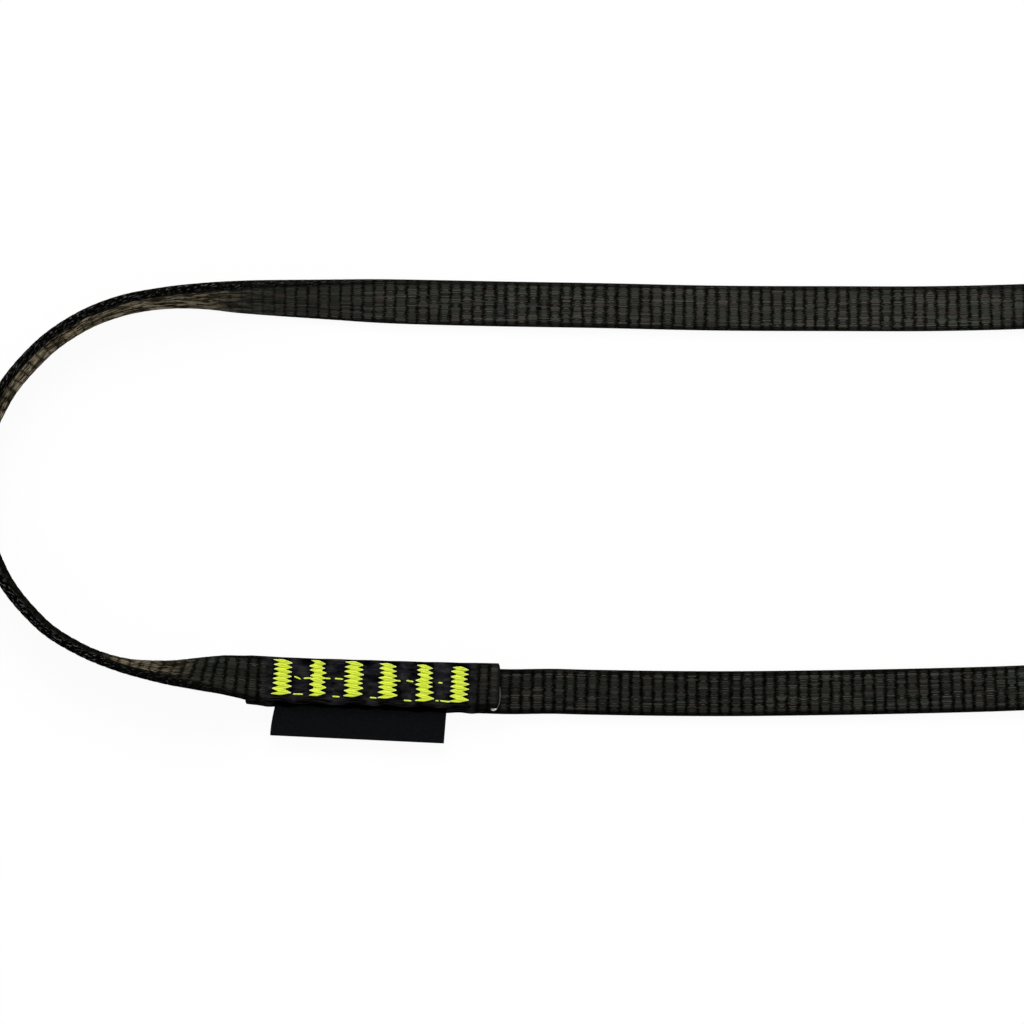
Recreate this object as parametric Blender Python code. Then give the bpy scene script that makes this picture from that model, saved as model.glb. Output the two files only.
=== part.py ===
"""A sewn climbing sling: one strip of flat tubular webbing, lapped and bar-tacked into a loop.

The loop lies open on the ground. Its two long runs lie flat. In each end bend the webbing twists
until it stands on its inner edge. +X is along the loop, +Y across it, and +Z is up.
"""

import math

import bmesh
import bpy
import numpy as np

# Webbing and loop
SLING_LENGTH = 0.600
WEBBING_WIDTH = 0.016
WEBBING_THICKNESS = 0.0029
LOOP_WIDTH = 0.1388
MELTED_EDGE = 0.0008
RING_PITCH = 0.0065

# Lap seam
SEAM_OVERLAP = 0.0912
SEAM_FROM_TIP = 0.0984
SEAM_LIP = 0.0015
CLIMB = 0.034
SETTLE = 0.022
SEAM_LEAD = 0.003

# Thread and its bar tacks
TACK_WIDTH = 0.0074
TACK_LENGTH = 0.0136
TACK_PITCH = 0.01283
FIRST_TACK = 0.0129
THREAD_WIDTH = 0.00062
THREAD_HEIGHT = 0.00042
TRAVEL_THREAD = 0.0005
TRAVEL_RISE = 0.00012
GROUND_CLEARANCE = 0.00005

# Label
LABEL_LENGTH = 0.0617
LABEL_THICKNESS = 0.0006
LABEL_START = 0.0102
LABEL_SEWN_DEPTH = 0.0062
LABEL_DROP = 0.0120

# Thread end
THREAD_END = 0.00036
THREAD_END_RUN = 0.0034

# Clearances
GAP = 0.0003

TACKS = 6
ZIGZAG_LEGS = 16
SECTION_SIDES = 14
RIBBON_EDGE_STEPS = 4

# The end bend, from the lower run round the tip to the upper run: distance in from the tip and height
# above the loop's middle line, both as shares of half the loop's width, and roll as a share of a quarter
# turn. The other end mirrors it.
BEND_SHARES = (
    (1.383, -0.917, 0.24),
    (1.176, -0.901, 0.52),
    (0.969, -0.885, 0.75),
    (0.762, -0.847, 0.89),
    (0.554, -0.767, 0.93),
    (0.347, -0.630, 0.92),
    (0.140, -0.363, 0.90),
    (0.000, 0.093, 0.86),
    (0.140, 0.517, 0.82),
    (0.347, 0.777, 0.80),
    (0.554, 0.925, 0.80),
    (0.762, 1.008, 0.79),
    (0.969, 1.047, 0.77),
    (1.176, 1.060, 0.69),
    (1.383, 1.056, 0.55),
)
# The runs between the bends, left to right: place along the run as a share of its half length, height
# as a share of half the loop's width, and roll as a share of a quarter turn.
LOWER_RUN_SHARES = (
    (-0.965, -0.923, 0.0),
    (-0.720, -0.946, 0.0),
    (-0.450, -0.972, 0.0),
    (-0.236, -0.990, 0.0),
    (0.018, -0.997, 0.0),
    (0.270, -0.992, 0.0),
    (0.485, -0.982, 0.0),
    (0.663, -0.969, 0.0),
    (0.850, -0.945, 0.05),
)
UPPER_RUN_SHARES = (
    (-0.830, 1.044, 0.37),
    (-0.660, 1.033, 0.145),
    (-0.450, 1.022, 0.035),
    (-0.236, 1.012, 0.0),
    (0.018, 1.000, 0.0),
    (0.270, 0.997, 0.0),
    (0.485, 0.997, 0.0),
    (0.700, 1.010, 0.05),
    (0.850, 1.032, 0.28),
)
# Each travel stitch lies in the gap after its tack: tack number, start and length as shares of the gap,
# and place across the webbing as a share of half its width.
MIDDLE_TRAVEL_SHARES = (
    (1, 0.10, 0.78, 0.08),
    (2, 0.34, 0.60, 0.05),
    (4, 0.06, 0.44, 0.02),
    (5, 0.30, 0.24, 0.0),
)
EDGE_TRAVEL_SHARES = (
    (1, 0.06, 0.70, -0.74),
    (2, 0.14, 0.60, -0.78),
    (3, 0.34, 0.56, -0.80),
    (4, 0.20, 0.56, -0.82),
    (5, 0.36, 0.56, -0.84),
)
# The thread end, from the upper layer's cut end round its corner to the bead on the lip: place along the
# seam as a share of its run, place across as a share of the way to the lip, and thickness as a share.
THREAD_END_SHARES = (
    (0.00, 0.11, 0.6),
    (0.03, -0.12, 1.0),
    (0.06, -0.36, 1.0),
    (0.05, -0.60, 1.0),
    (0.00, -0.82, 1.0),
    (-0.14, -0.96, 1.0),
    (-0.38, -1.00, 1.0),
    (-0.58, -1.00, 1.7),
    (-0.76, -1.00, 2.3),
    (-0.92, -1.00, 1.7),
    (-1.00, -1.00, 0.8),
)
BEAD_SHARE = 2.3

HALF_WIDTH = LOOP_WIDTH / 2
HALF_FLAT = (WEBBING_WIDTH - WEBBING_THICKNESS) / 2
ROUND_LENGTH = 2 * SLING_LENGTH
STRIP_LENGTH = ROUND_LENGTH + SEAM_OVERLAP
SEAM_BASE = GROUND_CLEARANCE + THREAD_HEIGHT + GAP
LABEL_BASE = SEAM_BASE + WEBBING_THICKNESS + GAP
UPPER_BASE = LABEL_BASE + LABEL_THICKNESS + GAP
NEEDLE_BASE = UPPER_BASE + WEBBING_THICKNESS + GAP
HINGE_OUT = (WEBBING_WIDTH - SEAM_LIP) / 2 + LABEL_THICKNESS / 2 + GAP
LIP_MIDDLE = (WEBBING_WIDTH - SEAM_LIP) / 2 + BEAD_SHARE * THREAD_END / 2 + GAP
TACK_GAP = TACK_PITCH - TACK_WIDTH


def clear_scene():
    for item in list(bpy.data.objects):
        bpy.data.objects.remove(item)


def material(name, colour, roughness):
    made = bpy.data.materials.new(name)
    made.use_nodes = True
    shader = made.node_tree.nodes["Principled BSDF"]
    shader.inputs["Base Color"].default_value = (*colour, 1.0)
    shader.inputs["Roughness"].default_value = roughness
    shader.inputs["Metallic"].default_value = 0.0
    return made


def webbing_material():
    return material("webbing_polyester", (0.018, 0.018, 0.016), 0.85)


def thread_material():
    return material("lime_thread", (0.60, 0.82, 0.03), 0.6)


def label_material():
    return material("label_satin", (0.008, 0.010, 0.014), 0.45)


def clear_thread_material():
    return material("clear_thread", (0.85, 0.85, 0.85), 0.3)


def empty(name, location, turn, parent):
    made = bpy.data.objects.new(name, None)
    bpy.context.collection.objects.link(made)
    made.parent = parent
    made.location = location
    made.rotation_euler = (0.0, 0.0, turn)
    return made


def placed(name, data, surface, parent, location=(0.0, 0.0, 0.0), rotation=(0.0, 0.0, 0.0)):
    made = bpy.data.objects.new(name, data)
    bpy.context.collection.objects.link(made)
    data.materials.clear()
    data.materials.append(surface)
    made.parent = parent
    made.location = location
    made.rotation_euler = rotation
    return made


def eased(share):
    """A step from 0 to 1 with a level start and end."""
    share = np.clip(share, 0.0, 1.0)
    return share * share * (3.0 - 2.0 * share)


def route_points(reach):
    """The loop's route points as x, y and roll, anticlockwise from the left bend's last twist."""
    run = reach - BEND_SHARES[0][0] * HALF_WIDTH
    lower = [(share * run, height, roll) for share, height, roll in LOWER_RUN_SHARES]
    upper = [(share * run, height, roll) for share, height, roll in reversed(UPPER_RUN_SHARES)]
    right = [(reach - depth * HALF_WIDTH, height, roll) for depth, height, roll in BEND_SHARES]
    left = [(-x, height, roll) for x, height, roll in reversed(right)]
    points = np.array([left[-1], *lower, *right, *upper, *left[:-1]])
    points[:, 1] *= HALF_WIDTH
    return points


def leaning(before, here, after):
    """The slope at a point that leans on its neighbours, level in a value that turns back or stays there."""
    near, far = math.dist(before[:2], here[:2]), math.dist(here[:2], after[:2])
    slope = (after - before) / (near + far)
    if (here[2] - before[2]) * (after[2] - here[2]) <= 0:
        slope[2] = 0.0
    return slope


def smooth_route(points, steps=24):
    """A closed curve through the points, with a cubic for each span."""
    spans = []
    share = np.linspace(0.0, 1.0, steps, endpoint=False)[:, None]
    before, after, last = np.roll(points, 1, 0), np.roll(points, -1, 0), np.roll(points, -2, 0)
    for a, b, c, d in zip(before, points, after, last):
        length = math.dist(b[:2], c[:2])
        spans.append(
            (2 * share**3 - 3 * share**2 + 1) * b
            + (share**3 - 2 * share**2 + share) * leaning(a, b, c) * length
            + (3 * share**2 - 2 * share**3) * c
            + (share**3 - share**2) * leaning(b, c, d) * length
        )
    return np.concatenate(spans)


def distances(line):
    """How far along the closed line each of its points is, and the whole length at the end."""
    closed = np.vstack([line, line[:1]])
    steps = np.linalg.norm(np.diff(closed[:, :2], axis=0), axis=1)
    return np.concatenate([[0.0], np.cumsum(steps)])


def loop_reach():
    """Half the length of the lying loop, which makes the way round it twice the sling's length."""
    shortest = BEND_SHARES[0][0] * HALF_WIDTH
    longest = SLING_LENGTH
    for _ in range(40):
        middle = (shortest + longest) / 2
        if distances(smooth_route(route_points(middle)))[-1] < ROUND_LENGTH:
            shortest = middle
        else:
            longest = middle
    return middle


class Route:
    """The loop's middle line: place, direction and roll at a distance from the under layer's cut end."""

    def __init__(self):
        self.reach = loop_reach()
        line = smooth_route(route_points(self.reach))
        self.line = np.vstack([line, line[:1]])
        self.far = distances(line)
        lower = slice(0, len(line) // 4)
        self.start = np.interp(SEAM_FROM_TIP - self.reach, self.line[lower, 0], self.far[lower])

    def at(self, distance):
        """Columns x, y and roll for each distance."""
        along = np.mod(np.asarray(distance) + self.start, self.far[-1])
        return np.stack([np.interp(along, self.far, column) for column in self.line.T], axis=-1)

    def heading(self, distance, reach=WEBBING_WIDTH / 8):
        ahead = self.at(np.asarray(distance) + reach)
        behind = self.at(np.asarray(distance) - reach)
        way = (ahead - behind)[..., :2]
        return way / np.linalg.norm(way, axis=-1, keepdims=True)


def layer_shift(distance):
    """How far the strip lies inside the middle line: the under layer shows as a lip outside the upper."""
    under = 1 - eased((distance - SEAM_OVERLAP) / SETTLE)
    upper = eased((distance - ROUND_LENGTH + CLIMB) / CLIMB)
    return (upper - under) * SEAM_LIP / 2


def layer_base(distance):
    """The height of the strip's lowest edge: on the ground but for the seam's two layers."""
    under = SEAM_BASE * (1 - eased((distance - SEAM_OVERLAP) / SETTLE))
    upper = UPPER_BASE * eased((distance - ROUND_LENGTH + CLIMB + SEAM_LEAD) / CLIMB)
    return under + upper


def strip_stations(route):
    """Centre, roll and size share at each ring along the strip."""
    rings = math.ceil(STRIP_LENGTH / RING_PITCH)
    inner = np.linspace(MELTED_EDGE, STRIP_LENGTH - MELTED_EDGE, rings)
    distance = np.concatenate([[0.0], inner, [STRIP_LENGTH]])
    spot = route.at(distance)
    way = route.heading(distance)
    inward = np.stack([-way[:, 1], way[:, 0]], axis=1)
    roll = np.where(distance < SEAM_OVERLAP + SETTLE, 0.0, np.maximum(spot[:, 2], 0.0)) * math.pi / 2
    plan = spot[:, :2] + inward * layer_shift(distance)[:, None]
    height = layer_base(distance) + HALF_FLAT * np.sin(roll) + WEBBING_THICKNESS / 2
    size = np.ones(len(distance))
    size[[0, -1]] = 1 - MELTED_EDGE / WEBBING_THICKNESS
    return np.column_stack([plan, height]), roll, size


def webbing_section():
    """The flattened tube's outline, with round selvedges. It is a guide and makes no solid."""
    outline = bpy.data.curves.new("webbing_section", "CURVE")
    outline.dimensions = "2D"
    outline.fill_mode = "NONE"
    corners = []
    for side in (1, -1):
        for step in range(SECTION_SIDES // 2):
            turn = math.pi * (0.5 - step / (SECTION_SIDES // 2 - 1))
            x = side * (HALF_FLAT + math.cos(turn) * WEBBING_THICKNESS / 2)
            corners.append((x, side * math.sin(turn) * WEBBING_THICKNESS / 2, 0.0, 1.0))
    spline = outline.splines.new("POLY")
    spline.points.add(len(corners) - 1)
    for point, corner in zip(spline.points, corners):
        point.co = corner
    spline.use_cyclic_u = True
    guide = bpy.data.objects.new("webbing_section", outline)
    bpy.context.collection.objects.link(guide)
    guide.hide_render = True
    guide.display_type = "WIRE"
    return guide


def webbing(route, parent):
    """The strip: the section swept along the route, tilted by its roll, with its cut ends melted round."""
    centres, rolls, sizes = strip_stations(route)
    path = bpy.data.curves.new("webbing", "CURVE")
    path.dimensions = "3D"
    path.twist_mode = "Z_UP"
    path.bevel_mode = "OBJECT"
    path.bevel_object = webbing_section()
    path.use_fill_caps = True
    spline = path.splines.new("POLY")
    spline.points.add(len(centres) - 1)
    for point, centre, roll, size in zip(spline.points, centres, rolls, sizes):
        point.co = (*centre, 1.0)
        point.tilt = -roll
        point.radius = size
    spline.use_smooth = True
    return placed("webbing", path, webbing_material(), parent)


def zigzag_mesh():
    """A bar tack's thread: flattened legs from side to side, each a low ridge, joined at their tips."""
    mesh = bpy.data.meshes.new("bar_tack")
    build = bmesh.new()
    advance = TACK_LENGTH / ZIGZAG_LEGS
    half = THREAD_WIDTH / 2
    slope = math.atan2(advance, TACK_WIDTH - THREAD_WIDTH)
    notch = half / math.sin(slope)
    rise, run = half * math.cos(slope), half * math.sin(slope)
    tips = []
    for number in range(ZIGZAG_LEGS + 1):
        side = 1 if number % 2 else -1
        x = side * (TACK_WIDTH / 2 - half)
        y = number * advance - TACK_LENGTH / 2
        tips.append(
            {
                "crown": build.verts.new((x, y, 0.0)),
                "end": build.verts.new((x + side * half, y, 0.0)),
                "inner": build.verts.new((x - side * notch, y, 0.0)),
                "below": build.verts.new((x + side * run, y - rise, 0.0)),
                "above": build.verts.new((x + side * run, y + rise, 0.0)),
            }
        )
    first, last = tips[0], tips[-1]
    first["inner"].co = first["crown"].co
    first["inner"].co.y -= half
    last["inner"].co = last["crown"].co
    last["inner"].co.y += half
    for number, (near, far) in enumerate(zip(tips, tips[1:])):
        lower = [near["crown"], near["inner"], far["below"], far["crown"]]
        upper = [near["crown"], far["crown"], far["inner"], near["above"]]
        build.faces.new(lower)
        build.faces.new(upper)
    for tip in tips[1:-1]:
        build.faces.new([tip["crown"], tip["below"], tip["end"]])
        build.faces.new([tip["crown"], tip["end"], tip["above"]])
    build.faces.new([first["crown"], first["inner"], first["end"]])
    build.faces.new([first["crown"], first["end"], first["above"]])
    build.faces.new([last["crown"], last["below"], last["end"]])
    build.faces.new([last["crown"], last["end"], last["inner"]])
    bmesh.ops.delete(build, geom=[v for v in build.verts if not v.link_faces], context="VERTS")
    bmesh.ops.recalc_face_normals(build, faces=build.faces)
    crowns = [tip["crown"].co.copy() for tip in tips]
    raised = bmesh.ops.extrude_face_region(build, geom=build.faces[:], use_keep_orig=True)["geom"]
    for vertex in raised:
        if isinstance(vertex, bmesh.types.BMVert):
            crown = any((vertex.co - spot).length < half / 2 for spot in crowns)
            vertex.co.z += THREAD_HEIGHT if crown else THREAD_HEIGHT / 2
    bmesh.ops.recalc_face_normals(build, faces=build.faces)
    build.to_mesh(mesh)
    build.free()
    mesh.shade_smooth()
    mesh.set_sharp_from_angle(angle=math.radians(50))
    return mesh


def tack_place(number):
    """How far along the seam from the under layer's cut end a tack's middle is."""
    return FIRST_TACK + (number - 1) * TACK_PITCH


def bar_tacks(seam, surface):
    """Each tack has a needle thread on the upper layer and a bobbin thread on the under layer's back."""
    for number in range(1, TACKS + 1):
        x = tack_place(number) - SEAM_OVERLAP / 2
        needle = (x, SEAM_LIP / 2, NEEDLE_BASE)
        bobbin = (x, -SEAM_LIP / 2, GROUND_CLEARANCE + THREAD_HEIGHT)
        placed(f"needle_tack_{number}", zigzag_mesh(), surface, seam, needle)
        placed(f"bobbin_tack_{number}", zigzag_mesh(), surface, seam, bobbin, (math.pi, 0.0, 0.0))


def thread_curve(name, spots, thickness):
    """A round thread through the spots, each x, y, z and a share of the thickness."""
    curve = bpy.data.curves.new(name, "CURVE")
    curve.dimensions = "3D"
    curve.bevel_depth = thickness / 2
    curve.bevel_resolution = 1
    curve.use_fill_caps = True
    spline = curve.splines.new("POLY")
    spline.points.add(len(spots) - 1)
    for point, (x, y, z, share) in zip(spline.points, spots):
        point.co = (x, y, z, 1.0)
        point.radius = share
    spline.use_smooth = True
    return curve


def travel_stitch(name, shares, seam, surface):
    """A stitch that runs on from one tack towards the next, humped a little between its ends."""
    number, start, length, across = shares
    x = tack_place(number) - SEAM_OVERLAP / 2 + TACK_WIDTH / 2 + GAP + start * (TACK_GAP - 2 * GAP)
    reach = length * (TACK_GAP - 2 * GAP)
    y = SEAM_LIP / 2 + across * HALF_FLAT
    floor = NEEDLE_BASE + TRAVEL_THREAD / 2
    spots = [
        (x + reach * share, y, floor + TRAVEL_RISE * math.sin(math.pi * share), 1.0 - abs(share - 0.5))
        for share in (0.0, 0.15, 0.5, 0.85, 1.0)
    ]
    placed(name, thread_curve(name, spots, TRAVEL_THREAD), surface, seam)


def travel_stitches(seam, surface):
    for shares in MIDDLE_TRAVEL_SHARES:
        travel_stitch(f"middle_travel_stitch_{shares[0]}", shares, seam, surface)
    for shares in EDGE_TRAVEL_SHARES:
        travel_stitch(f"edge_travel_stitch_{shares[0]}", shares, seam, surface)


def thread_end(seam):
    """The loose end of a clear thread, down the upper layer's cut end to a bead at the lip."""
    floor = SEAM_BASE + WEBBING_THICKNESS + GAP
    x = SEAM_OVERLAP / 2 + GAP + THREAD_END
    spots = [
        (x + along * THREAD_END_RUN, across * LIP_MIDDLE, floor + THREAD_END * share / 2, share)
        for along, across, share in THREAD_END_SHARES
    ]
    placed("thread_end", thread_curve("thread_end", spots, THREAD_END), clear_thread_material(), seam)


def ribbon_mesh(name, near, far):
    """A length of the label's folded ribbon between two lines along the seam, with both edges round."""
    mesh = bpy.data.meshes.new(name)
    build = bmesh.new()
    half = LABEL_THICKNESS / 2
    left = LABEL_START - SEAM_OVERLAP / 2
    turns = [math.pi * step / RIBBON_EDGE_STEPS for step in range(RIBBON_EDGE_STEPS + 1)]
    outline = [(max(near, far) - half + half * math.sin(turn), half * math.cos(turn)) for turn in turns]
    outline += [(min(near, far) + half - half * math.sin(turn), -half * math.cos(turn)) for turn in turns]
    end = build.faces.new([build.verts.new((left, y, z)) for y, z in outline])
    swept = bmesh.ops.extrude_face_region(build, geom=[end], use_keep_orig=True)["geom"]
    moved = [vertex for vertex in swept if isinstance(vertex, bmesh.types.BMVert)]
    bmesh.ops.translate(build, verts=moved, vec=(LABEL_LENGTH, 0.0, 0.0))
    bmesh.ops.recalc_face_normals(build, faces=build.faces)
    build.to_mesh(mesh)
    build.free()
    return mesh


def label(seam):
    """The folded ribbon: its cut edges are sewn in between the layers, and its fold hangs out free."""
    surface = label_material()
    hinge = empty("label_hinge", (0.0, -HINGE_OUT, LABEL_BASE + LABEL_THICKNESS / 2), 0.0, seam)
    root = LABEL_THICKNESS / 2
    sewn = ribbon_mesh("label_sewn_edge", root + GAP, root + GAP + LABEL_SEWN_DEPTH)
    placed("label_sewn_edge", sewn, surface, hinge)
    placed("label_flap", ribbon_mesh("label_flap", root, -LABEL_DROP), surface, hinge)


def box_of(parts):
    """The least and greatest corner of all the parts in world space."""
    graph = bpy.context.evaluated_depsgraph_get()
    corners = []
    for part in parts:
        shape = part.evaluated_get(graph)
        corners += [shape.matrix_world @ vertex.co for vertex in shape.to_mesh().vertices]
        shape.to_mesh_clear()
    return np.min(corners, axis=0), np.max(corners, axis=0)


def centre_on_ground(root):
    """Moves the whole sling so that its box stands centred on the origin."""
    bpy.context.view_layer.update()
    parts = [item for item in bpy.data.objects if item.type != "EMPTY" and not item.hide_render]
    least, greatest = box_of(parts)
    root.location = (-(least[0] + greatest[0]) / 2, -(least[1] + greatest[1]) / 2, -least[2])
    bpy.context.view_layer.update()


def sling():
    clear_scene()
    root = empty("sling", (0.0, 0.0, 0.0), 0.0, None)
    route = Route()
    webbing(route, root)
    middle = route.at(SEAM_OVERLAP / 2)
    way = route.heading(SEAM_OVERLAP / 2, SEAM_OVERLAP / 2)
    seam = empty("seam", (middle[0], middle[1], 0.0), math.atan2(way[1], way[0]), root)
    thread = thread_material()
    bar_tacks(seam, thread)
    travel_stitches(seam, thread)
    thread_end(seam)
    label(seam)
    centre_on_ground(root)


sling()
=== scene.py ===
import math

import bpy
import numpy as np
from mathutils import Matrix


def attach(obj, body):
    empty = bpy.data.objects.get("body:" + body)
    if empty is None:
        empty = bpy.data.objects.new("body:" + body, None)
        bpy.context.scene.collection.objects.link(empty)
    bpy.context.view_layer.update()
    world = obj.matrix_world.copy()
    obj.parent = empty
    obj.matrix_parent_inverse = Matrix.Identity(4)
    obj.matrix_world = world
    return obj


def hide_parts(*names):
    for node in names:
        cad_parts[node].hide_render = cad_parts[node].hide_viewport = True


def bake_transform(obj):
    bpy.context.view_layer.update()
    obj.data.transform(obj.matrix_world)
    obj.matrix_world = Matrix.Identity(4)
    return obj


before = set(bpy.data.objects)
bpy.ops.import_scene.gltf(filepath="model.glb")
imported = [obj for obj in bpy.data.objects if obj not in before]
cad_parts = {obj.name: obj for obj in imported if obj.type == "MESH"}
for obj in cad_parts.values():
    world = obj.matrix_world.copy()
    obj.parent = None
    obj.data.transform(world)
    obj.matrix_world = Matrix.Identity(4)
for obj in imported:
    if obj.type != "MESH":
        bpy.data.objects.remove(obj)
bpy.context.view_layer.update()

scene = bpy.context.scene


# The camera looks straight down on the seam end of the loop through a long lens. It stands far enough
# away that the standing webbing in the bend shows its own lean and no more.
VIEW_MIDDLE = (-0.0703, -0.0004)
VIEW_WIDTH = 0.3682
LENS = 400.0
SENSOR = 36.0

lens = bpy.data.cameras.new("camera")
lens.lens = LENS
lens.sensor_width = SENSOR
camera = bpy.data.objects.new("camera", lens)
camera.location = (*VIEW_MIDDLE, VIEW_WIDTH * LENS / SENSOR)
scene.collection.objects.link(camera)
scene.camera = camera


# The webbing is one strip of flat tubular polyester webbing, woven with crosswise ribs and narrow, dense
# selvedges. Its cut ends are melted hard. The strip goes once round the loop and laps over its own start,
# where the bar tacks press the two layers together. It lies flat in the runs and stands up in the bends.
WEBBING_WIDTH = 0.0163
WEBBING_THICKNESS = 0.0029
HALF_FLAT = (WEBBING_WIDTH - WEBBING_THICKNESS) / 2
ROUND_LENGTH = 1.200
SEAM_OVERLAP = 0.0912
STRIP_LENGTH = ROUND_LENGTH + SEAM_OVERLAP
# In the seam the under layer shows beyond the upper one by the lip. The under layer is lifted to its base and
# settles after the seam. The upper layer climbs to its own base before the seam, with a short lead.
SEAM_LIP = 0.0015
SEAM_BASE = 0.00077
SETTLE = 0.022
UPPER_BASE = 0.00487
CLIMB = 0.034
SEAM_LEAD = 0.003
# The loop's middle line from the last twist of the left bend, anticlockwise: x, y and roll as a share
# of a quarter turn.
ROUTE_POINTS = (
    (-0.1677, -0.0601, 0.24), (-0.1618, -0.0605, 0.00), (-0.1207, -0.0621, 0.00),
    (-0.0754, -0.0639, 0.00), (-0.0395, -0.0652, 0.00), (0.0031, -0.0657, 0.00),
    (0.0453, -0.0653, 0.00), (0.0814, -0.0646, 0.00), (0.1113, -0.0637, 0.00),
    (0.1426, -0.0621, 0.05), (0.1678, -0.0601, 0.24), (0.1822, -0.0590, 0.52),
    (0.1965, -0.0579, 0.75), (0.2109, -0.0553, 0.89), (0.2253, -0.0497, 0.93),
    (0.2397, -0.0402, 0.92), (0.2541, -0.0217, 0.90), (0.2638, 0.0100, 0.86),
    (0.2541, 0.0394, 0.82), (0.2397, 0.0574, 0.80), (0.2253, 0.0677, 0.80),
    (0.2109, 0.0735, 0.79), (0.1965, 0.0762, 0.77), (0.1822, 0.0771, 0.69),
    (0.1678, 0.0768, 0.55), (0.1426, 0.0751, 0.28), (0.1175, 0.0736, 0.05),
    (0.0814, 0.0727, 0.00), (0.0453, 0.0727, 0.00), (0.0031, 0.0729, 0.00),
    (-0.0395, 0.0738, 0.00), (-0.0754, 0.0744, 0.035), (-0.1107, 0.0752, 0.145),
    (-0.1392, 0.0760, 0.37), (-0.1677, 0.0768, 0.55), (-0.1821, 0.0771, 0.69),
    (-0.1964, 0.0762, 0.77), (-0.2108, 0.0735, 0.79), (-0.2252, 0.0677, 0.80),
    (-0.2396, 0.0574, 0.80), (-0.2540, 0.0394, 0.82), (-0.2637, 0.0100, 0.86),
    (-0.2540, -0.0217, 0.90), (-0.2396, -0.0402, 0.92), (-0.2252, -0.0497, 0.93),
    (-0.2108, -0.0553, 0.89), (-0.1964, -0.0579, 0.75), (-0.1821, -0.0590, 0.52),
)
# From the line's first point to the under layer's cut end.
SEAM_START = 0.00186

RIBS = 327
RIB_RISE = 0.00026
PITCH_SPREAD = 0.03
GROOVE_BOW = 0.00016
GROOVE_SLANT = 0.012
# One rib along the strip, from groove to groove: share of its length, and height as a share of its rise.
RIB_PROFILE = ((0.0, 0.0), (0.09, 0.50), (0.19, 0.93), (0.40, 1.0), (0.62, 1.0), (0.81, 0.93), (0.91, 0.50))
# The share of a groove's depth that is left on the selvedges, and the shares that are lost where the strip
# is tacked, drawn and stood on edge.
SELVEDGE_SHARE = 0.08
TACKED_SHARE = 0.7
DRAWN_SHARE = 0.6
STANDING_SHARE = 0.4
FLOAT_PITCH = 0.00042
FLOAT_HEIGHT = 0.00020

# From the under layer's cut end to the middle of the seam, the middles of the tacks, and how each tack
# draws the webbing in.
SEAM_MIDDLE = 0.0462
TACK_PLACES = tuple(SEAM_MIDDLE + x / 1000 for x in (-33.3, -20.4, -7.5, 5.0, 18.0, 30.7))
TACK_REACH = 0.0034
TACK_DIP = 0.00035
TACK_NARROWING_SHARE = 0.010
# Before the first tack and after the last, the layers come together over a short way.
PRESS_LEAD = 0.0085
PRESS_RISE = 0.005
PRESS_TAIL = 0.0075
PRESS_FALL = 0.004
# The pressing fades out toward the strip's edges.
EDGE_FADE = 0.0022
# How far each inner face closes up on the other, and how much more at a tack. The label lies between them
# beyond its cover, and keeps them apart there.
SEAM_CLOSING = 0.00025
TACK_CLOSING = 0.0003
LABEL_COVER = -0.0005
# Between the tacks the outer edge stands out in puckers.
PUCKER_SHARE = 0.045
PUCKER_PLACE = -0.6 * HALF_FLAT
MELTED_LENGTH = 0.0008
MELTED_FADE = 2.2 * MELTED_LENGTH
MELTED_SHARE = 0.30
# How far each layer of the seam strays outward from its line, and where along the strip.
UNDER_STRAY = (
    (0.000, 0.0002), (0.007, 0.0006), (0.020, 0.0008), (0.045, 0.0006), (0.080, 0.0003), (0.130, 0.0),
)
UPPER_STRAY = (
    (-0.060, 0.0), (-0.030, -0.0003), (-0.009, -0.0003), (0.000, 0.0003), (0.020, 0.0005), (0.060, 0.0002),
    (0.0912, -0.00035),
)
# In one twist of each bend the webbing is drawn smooth, and beside it the grooves are narrow. The middle of
# each stretch, and half the length of the smooth part and of the whole.
DRAWN_PLACES = (0.568, 0.953)
DRAWN_REACH = 0.033
SLACK_REACH = 0.085
# Painted light and shade along the strip: places along it, and how pale the painted light makes the webbing
# there.
# It is near black where the left bend stands steepest beside the lower run, dark by the seam, and palest in
# the top run and the upper half of the left bend.
PAINTED_LIGHT_ALONG = (
    (0.00, 0.38), (0.10, 0.40), (0.27, 0.56), (0.45, 0.85), (0.66, 1.00), (0.80, 0.92), (0.93, 0.88),
    (1.00, 1.00), (1.03, 1.10), (1.07, 0.50), (1.09, 0.02), (1.147, 0.02), (1.154, 0.60), (1.161, 0.58),
    (1.170, 0.46), (1.185, 0.38), (1.20, 0.34), (1.30, 0.42),
)


def eased(share):
    """A step from 0 to 1 with a level start and end."""
    share = np.clip(share, 0.0, 1.0)
    return share * share * (3.0 - 2.0 * share)


def leaning(before, here, after):
    """The slope at a route point, level in a roll that turns back or stays there."""
    near, far = math.dist(before[:2], here[:2]), math.dist(here[:2], after[:2])
    slope = (after - before) / (near + far)
    if (here[2] - before[2]) * (after[2] - here[2]) <= 0:
        slope[2] = 0.0
    return slope


def middle_line(steps=48):
    """The closed line through the route's points, with a cubic for each span, and its distances."""
    points = np.array(ROUTE_POINTS)
    share = np.linspace(0.0, 1.0, steps, endpoint=False)[:, None]
    spans = []
    for n, b in enumerate(points):
        a, c, d = points[n - 1], points[(n + 1) % len(points)], points[(n + 2) % len(points)]
        length = math.dist(b[:2], c[:2])
        spans.append(
            (2 * share**3 - 3 * share**2 + 1) * b
            + (share**3 - 2 * share**2 + share) * leaning(a, b, c) * length
            + (3 * share**2 - 2 * share**3) * c
            + (share**3 - share**2) * leaning(b, c, d) * length
        )
    line = np.concatenate([*spans, points[:1]])
    far = np.concatenate([[0.0], np.cumsum(np.linalg.norm(np.diff(line[:, :2], axis=0), axis=1))])
    return line, far * ROUND_LENGTH / far[-1]


LINE, FAR = middle_line()


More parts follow.
